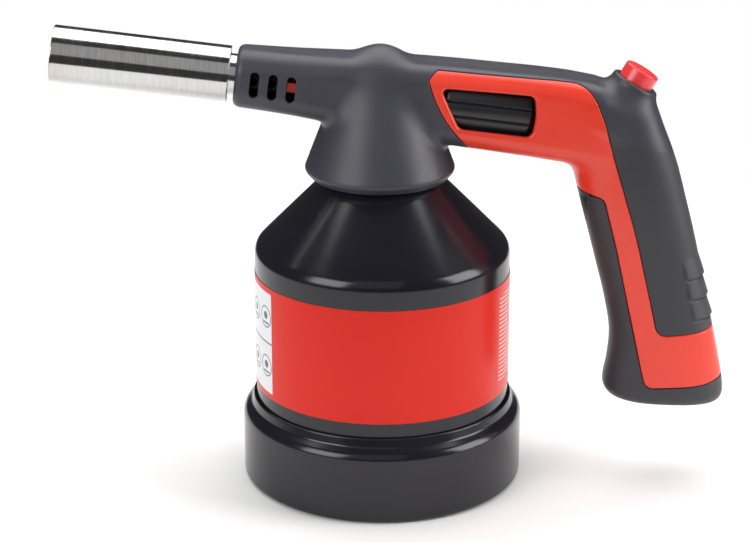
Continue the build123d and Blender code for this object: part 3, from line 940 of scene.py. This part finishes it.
def make_mixing_steel():
    """Bright at the neck; inside the head the colour is painted shade, as dark as the shadowed hollow
    behind the air slots.
    """
    look = Look("mixing_tube_steel", 1.0)
    along = look.node("ShaderNodeSeparateXYZ")
    look.link(look.place, along.inputs[0])
    # painted shade: the steel inside the head is coloured nearly black, where the hollow would lie in
    # shadow
    inside = look.spread(along.outputs[0], 0.0, 1.0, -0.0535, -0.0515)
    bright = look.mix(look.spread(look.noise(4.0, 5.0), 0.0, 1.0), (0.50, 0.50, 0.52),
                      (0.62, 0.62, 0.63))
    painted_shade = look.mix(look.spread(look.noise(3.0, 5.0), 0.0, 1.0), (0.016, 0.016, 0.018),
                    (0.032, 0.030, 0.028))
    look.colour(look.mix(inside, bright, painted_shade))
    look.rough(look.math("ADD", look.spread(look.noise(2.0, 6.0), 0.14, 0.24),
                         look.math("MULTIPLY", inside, 0.25)))
    look.bump((look.noise(0.3, 3.0), 0.004))
    return look.material


def metal(name, base, deep, rough, grain_mm=0.3, depth_mm=0.004):
    look = Look(name, 1.0)
    look.colour(look.mix(look.spread(look.noise(4.0, 5.0), 0.0, 1.0), deep, base))
    look.rough(look.spread(look.noise(2.0, 6.0), rough - 0.06, rough + 0.08))
    look.bump((look.noise(grain_mm, 3.0), depth_mm))
    return look.material


def make_label():
    """Printed film: red ground, a pale pictogram panel and a block of fine lines at the sides."""
    look = Look("label_film", Specular_IOR_Level=0.22)
    parts = look.node("ShaderNodeSeparateXYZ")
    look.link(look.place, parts.inputs[0])
    x, y, z = parts.outputs
    around = look.math("MULTIPLY", look.math("ARCTAN2", x, look.math("MULTIPLY", y, -1.0)), LABEL_R)
    high = look.math("MULTIPLY", z, 1000.0)

    def within(value, low, high_end, soft=0.12):
        up = look.spread(value, 0.0, 1.0, low - soft, low + soft)
        down = look.spread(value, 1.0, 0.0, high_end - soft, high_end + soft)
        return look.math("MULTIPLY", up, down)

    def disc(cx, cz, radius, width):
        dx = look.math("SUBTRACT", around, cx)
        dz = look.math("SUBTRACT", high, cz)
        r = look.math("SQRT", look.math("ADD", look.math("MULTIPLY", dx, dx),
                                        look.math("MULTIPLY", dz, dz)))
        return within(r, radius - width, radius)

    def either(*shares):
        total = shares[0]
        for share in shares[1:]:
            total = look.math("MAXIMUM", total, share)
        return total

    colour = look.mix(look.spread(look.noise(60.0, 1.0), 0.0, 1.0), (0.640, 0.019, 0.009),
                      (0.660, 0.022, 0.011))
    panel = look.math("MULTIPLY", within(around, -78.0, -49.0), within(high, 40.2, 79.8))
    colour = look.mix(panel, colour, (0.74, 0.75, 0.78))
    marks = []
    for cz in (50.5, 70.0):
        for cx in (-53.6, -64.0, -72.4):
            marks.append(disc(cx, cz, 4.3, 0.5))
            marks.append(disc(cx, cz + 0.6, 1.5, 1.5))
            marks.append(look.math("MULTIPLY", within(around, cx - 2.4, cx + 2.4),
                                   within(high, cz - 2.7, cz - 2.0)))
    marks.append(look.math("MULTIPLY", within(high, 59.7, 60.3), panel))
    colour = look.mix(look.math("MULTIPLY", either(*marks), panel), colour, (0.10, 0.10, 0.12))
    row = look.math("FRACT", look.math("MULTIPLY", look.math(
        "ADD", high, look.math("MULTIPLY", around, 0.12)), 0.62))
    block = look.math("MULTIPLY", within(around, 54.0, 78.0), within(high, 43.5, 77.5))
    dashes = look.spread(look.noise(1.5, 1.0, 0.5, look.stretched((1.0, 1.0, 0.2))), 0.0, 1.0,
                         0.30, 0.36)
    lines = look.math("MULTIPLY", look.math("MULTIPLY", within(row, 0.28, 0.62, 0.08), block), dashes)
    colour = look.mix(look.math("MULTIPLY", lines, 0.75), colour, (0.80, 0.62, 0.58))
    look.colour(colour)
    look.rough(look.spread(look.noise(22.0, 1.0), 0.28, 0.31))
    look.bump((look.noise(14.0, 1.0), 0.005))
    return look.material


def make_materials():
    return {
        "casing": moulded("black_moulding", (0.0440, 0.0435, 0.0560), (0.0370, 0.0365, 0.0480),
                          0.44, 0.30, 0.016),
        "trim": moulded("red_moulding", (0.800, 0.047, 0.022), (0.760, 0.040, 0.018), 0.33, 0.35,
                        0.008, wear_and_highlight=0.10, Coat_Weight=0.15, Coat_Roughness=0.25),
        "grip": moulded("soft_grip", (0.0330, 0.0330, 0.0400), (0.0280, 0.0280, 0.0345), 0.50,
                        0.22, 0.018, Sheen_Weight=0.12, Sheen_Roughness=0.4),
        "knob": moulded("knob_moulding", (0.0150, 0.0150, 0.0175), (0.0110, 0.0110, 0.0130),
                        0.34, 0.25, 0.006),
        "button": moulded("button_moulding", (0.860, 0.052, 0.060), (0.820, 0.046, 0.052), 0.28,
                          0.30, 0.006, wear_and_highlight=0.08, Coat_Weight=0.2, Coat_Roughness=0.2),
        "grey_plastic": moulded("grey_moulding", (0.22, 0.22, 0.23), (0.17, 0.17, 0.18), 0.45,
                                0.3, 0.01),
        "rubber": moulded("seal_rubber", (0.020, 0.020, 0.021), (0.014, 0.014, 0.015), 0.60,
                          0.4, 0.02, wear_and_highlight=0.0),
        "ceramic": moulded("white_ceramic", (0.78, 0.76, 0.71), (0.70, 0.68, 0.62), 0.30, 0.3,
                           0.006, wear_and_highlight=0.0),
        "paint": make_paint(),
        "label": make_label(),
        "steel": make_steel(),
        "mixing": make_mixing_steel(),
        "chrome": metal("plated_steel", (0.62, 0.62, 0.63), (0.50, 0.50, 0.52), 0.20),
        "zinc": metal("zinc_plate", (0.52, 0.52, 0.50), (0.40, 0.40, 0.38), 0.36),
        "brass": metal("brass", (0.66, 0.47, 0.20), (0.50, 0.34, 0.13), 0.30),
        "spring": metal("spring_steel", (0.30, 0.30, 0.31), (0.22, 0.22, 0.23), 0.34),
        "cartridge": metal("cartridge_lacquer", (0.13, 0.22, 0.40), (0.10, 0.18, 0.34), 0.32),
    }


# what each node of the frame that still shows is made of
NODE_LOOKS = {
    "brass": ("valve_block", "packing_nut", "gas_jet", "jet_carrier"),
    "mixing": ("mixing_tube",),
    "chrome": ("tube_plug", "valve_spindle", "piercing_needle", "thrust_washer"),
    "zinc": ("neck_ring", "bayonet_pins", "bayonet_track", "pressure_plate", "head_collar",
             "case_screws"),
    "spring": ("base_spring", "spark_electrode", "flame_holder"),
    "trim": ("tube_locator",),
    "rubber": ("cartridge_seal", "ignition_lead"),
    "ceramic": ("electrode_insulator",),
    "grey_plastic": ("piezo_igniter",),
    "cartridge": ("gas_cartridge",),
}


def dress_nodes():
    for look, nodes in NODE_LOOKS.items():
        for node in nodes:
            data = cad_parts[node].data
            data.materials.clear()
            data.materials.append(MATERIALS[look])


# ============================================================================
# studio
# ============================================================================
def make_floor():
    """Pale paper sweep, finely mottled."""
    half = 0.42
    mesh = bpy.data.meshes.new("studio_floor")
    ring = [(half * math.cos(a), half * math.sin(a), 0)
            for a in (i * 2 * math.pi / 96 for i in range(96))]
    mesh.from_pydata(ring, [], [tuple(range(96))])
    floor = bpy.data.objects.new("studio_floor", mesh)
    bpy.context.scene.collection.objects.link(floor)
    look = Look("studio_paper", Roughness=0.9, Specular_IOR_Level=0.0)
    look.colour(look.mix(look.spread(look.noise(60.0, 3.0), 0.0, 1.0), (0.925, 0.922, 0.912),
                         (0.935, 0.932, 0.922)))
    mesh.materials.append(look.material)


def soft_box(name, place, target, wide, tall, radiance):
    """Rectangular soft light of a given brightness, unseen by the camera itself."""
    data = bpy.data.lights.new(name, "AREA")
    data.shape = "RECTANGLE"
    data.size, data.size_y = wide, tall
    data.energy = radiance * math.pi * wide * tall
    light = bpy.data.objects.new(name, data)
    light.location = place
    light.rotation_euler = (Vector(target) - Vector(place)).to_track_quat("-Z", "Y").to_euler()
    light.visible_camera = False
    bpy.context.scene.collection.objects.link(light)


def make_lights():
    middle = (0.0, 0.0, 0.12)
    soft_box("overhead", (0.0, 0.40, 1.15), (0, 0.05, 0.1), 1.9, 1.15, 3.1)
    soft_box("front_left", (-0.95, -0.80, 0.62), middle, 0.75, 0.85, 5.4)
    soft_box("front_wide", (-0.12, -1.45, 1.15), middle, 1.25, 1.5, 0.40)
    soft_box("right_side", (1.15, -0.25, 0.52), middle, 0.7, 0.9, 6.4)


def make_world():
    """Dim surroundings for reflections, the paper's own white for the camera."""
    world = bpy.data.worlds.new("studio_world")
    world.use_nodes = True
    nodes, links = world.node_tree.nodes, world.node_tree.links
    seen = nodes.new("ShaderNodeBackground")
    seen.inputs["Color"].default_value = (1.0, 1.0, 1.0, 1)
    dim = nodes["Background"]
    dim.inputs["Color"].default_value = (0.05, 0.05, 0.052, 1)
    path = nodes.new("ShaderNodeLightPath")
    mix = nodes.new("ShaderNodeMixShader")
    links.new(path.outputs["Is Camera Ray"], mix.inputs[0])
    links.new(dim.outputs[0], mix.inputs[1])
    links.new(seen.outputs[0], mix.inputs[2])
    links.new(mix.outputs[0], nodes["World Output"].inputs["Surface"])
    bpy.context.scene.world = world


def make_camera():
    """Long lens, a little above the torch and square to its side."""
    data = bpy.data.cameras.new("camera")
    data.sensor_width = 36.0
    data.lens = 110.4
    data.clip_start, data.clip_end = 0.01, 20
    camera = bpy.data.objects.new("camera", data)
    camera.location = (-0.00273, -0.81714, 0.37451)
    camera.rotation_euler = (math.radians(90 - 19.81), 0, 0)
    bpy.context.scene.collection.objects.link(camera)
    bpy.context.scene.camera = camera


# ============================================================================
# everything
# ============================================================================
MATERIALS = make_materials()
build_casing()
build_holder()
build_label()
build_base_cup()
build_burner()
build_knob()
build_button()
dress_nodes()
make_floor()
make_lights()
make_world()
make_camera()
bpy.context.scene.view_settings.view_transform = "Standard"
